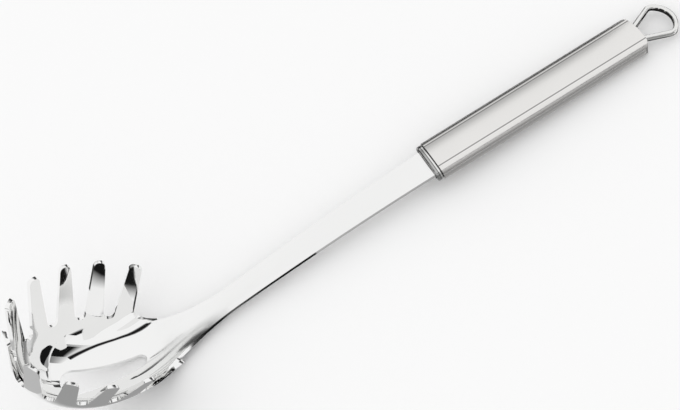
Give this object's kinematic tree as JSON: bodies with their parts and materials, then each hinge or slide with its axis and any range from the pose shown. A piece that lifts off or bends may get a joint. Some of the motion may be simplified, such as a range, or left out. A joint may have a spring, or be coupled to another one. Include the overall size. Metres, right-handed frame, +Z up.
{
  "type": "pasta server",
  "caption": "Stainless steel pasta server: tined oval bowl with a drain slot, long arched stem, hollow brushed handle and a hanging loop.",
  "frame": {"origin": "centre of the part's outline on the table it lies on", "axes": "+X from the bowl towards the hanging loop, +Z up, Y across the handle"},
  "size_m": [0.3192, 0.0662, 0.0693],
  "materials": {
    "polished_steel": "mirror-polished stainless steel",
    "brushed_steel": "satin, brushed along the handle",
    "polished_fittings": "polished stainless steel, slightly softer than the bowl"
  },
  "bodies": {
    "root": {"server_blank": "polished_steel", "handle_shell": "brushed_steel", "front_collar": "polished_fittings", "end_cap": "brushed_steel", "hanging_loop": "polished_fittings"}
  },
  "joints": []
}
